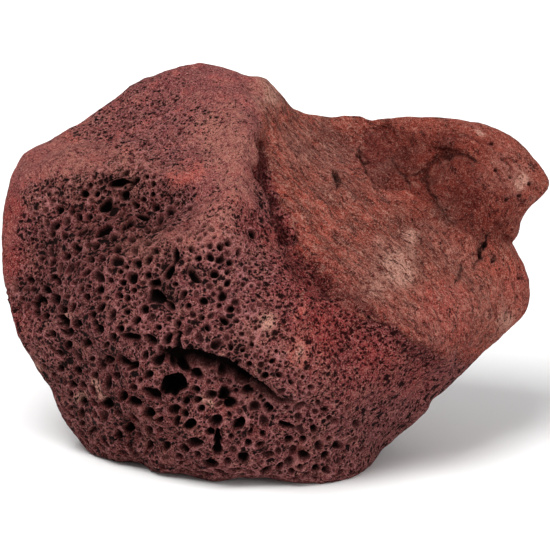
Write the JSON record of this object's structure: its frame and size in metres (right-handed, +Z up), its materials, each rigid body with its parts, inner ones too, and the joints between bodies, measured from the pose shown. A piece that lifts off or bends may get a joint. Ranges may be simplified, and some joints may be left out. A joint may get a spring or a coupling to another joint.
{
  "type": "lava rock",
  "caption": "Lump of red lava rock with a peaked end, a ridge, a smooth crust slope and a pitted, creviced face, resting on a broken flat underside.",
  "frame": {"origin": "middle of the bounding box in x and y, at the level of the flat underside it rests on", "axes": "+X towards the end with the round boss, away from the peaked end; -Y out of the pitted front; +Z up from the flat underside"},
  "size_m": [0.1821, 0.1258, 0.1241],
  "materials": {
    "scoria": "matte, rough and porous"
  },
  "bodies": {
    "root": {"lava_rock": "scoria"}
  },
  "joints": []
}
